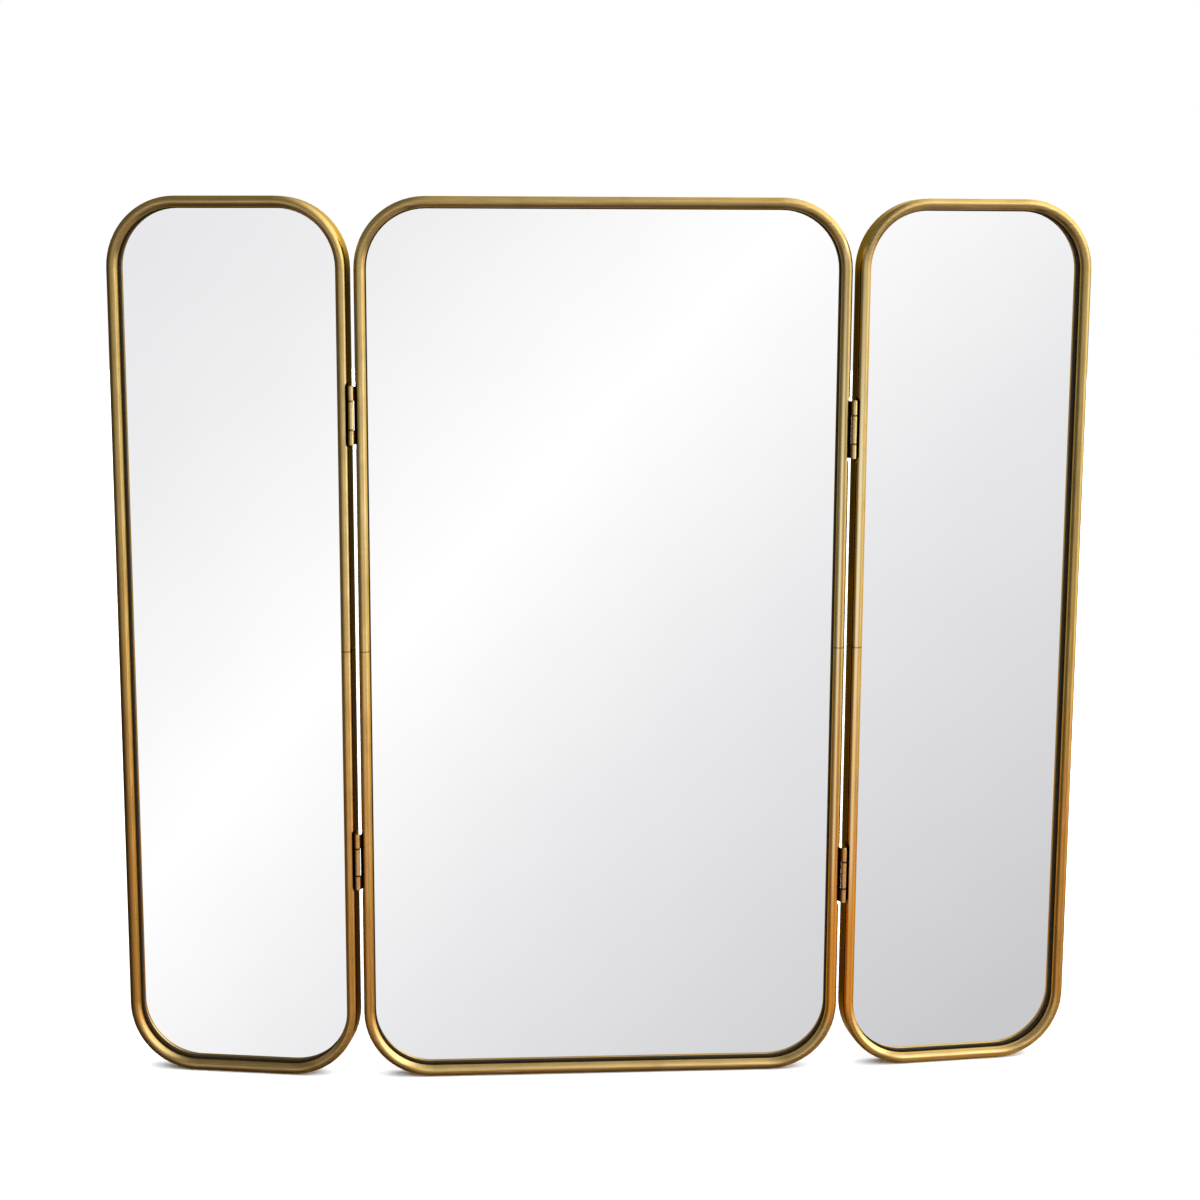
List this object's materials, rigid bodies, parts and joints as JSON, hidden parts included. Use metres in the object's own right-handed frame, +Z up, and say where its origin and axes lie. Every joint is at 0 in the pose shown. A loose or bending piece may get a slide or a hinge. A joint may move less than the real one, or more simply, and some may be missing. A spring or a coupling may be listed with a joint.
{
  "type": "trifold vanity mirror",
  "caption": "Free-standing trifold mirror: a rounded brass-framed centre panel with two half-width wings that fold on butt hinges.",
  "frame": {"origin": "middle of the flat underside of the centre frame's band, which stands on the table", "axes": "+Z up, +X across to the viewer's right, +Y to the back: the glass faces -Y"},
  "size_m": [0.6564, 0.0457, 0.6],
  "materials": {
    "antique_brass": "antique, softly polished",
    "hinge_brass": "antique",
    "pin_brass": "antique",
    "screw_brass": "satin",
    "mirror_glass": "silvered float glass",
    "seal_rubber": "matt",
    "foam": "matt",
    "backing_board": "pressed hardboard",
    "clip_steel": "zinc plated",
    "screw_steel": "zinc plated"
  },
  "bodies": {
    "centre": {"centre_frame": "antique_brass", "centre_seal": "seal_rubber", "centre_glass": "mirror_glass", "centre_cushion": "foam", "centre_board": "backing_board", "centre_clips": "clip_steel", "centre_clip_screws": "screw_steel", "centre_hinge_screws": "screw_brass", "left_upper_leaf_fixed": "hinge_brass", "left_upper_pin": "pin_brass", "left_lower_leaf_fixed": "hinge_brass", "left_lower_pin": "pin_brass", "right_upper_leaf_fixed": "hinge_brass", "right_upper_pin": "pin_brass", "right_lower_leaf_fixed": "hinge_brass", "right_lower_pin": "pin_brass"},
    "left_wing": {"left_frame": "antique_brass", "left_seal": "seal_rubber", "left_glass": "mirror_glass", "left_cushion": "foam", "left_board": "backing_board", "left_clips": "clip_steel", "left_clip_screws": "screw_steel", "left_hinge_screws": "screw_brass", "left_upper_leaf_wing": "hinge_brass", "left_lower_leaf_wing": "hinge_brass"},
    "right_wing": {"right_frame": "antique_brass", "right_seal": "seal_rubber", "right_glass": "mirror_glass", "right_cushion": "foam", "right_board": "backing_board", "right_clips": "clip_steel", "right_clip_screws": "screw_steel", "right_hinge_screws": "screw_brass", "right_upper_leaf_wing": "hinge_brass", "right_lower_leaf_wing": "hinge_brass"}
  },
  "joints": [
    {"name": "left_wing_fold", "type": "hinge", "parent": "centre", "child": "left_wing", "pos_m": [-0.1667, -0.00988, 0.3], "axis": [0, 0, 1], "range_deg": [-7.5, 190]},
    {"name": "right_wing_fold", "type": "hinge", "parent": "centre", "child": "right_wing", "pos_m": [0.1667, -0.00988, 0.3], "axis": [0, 0, -1], "range_deg": [-11.5, 186]}
  ]
}
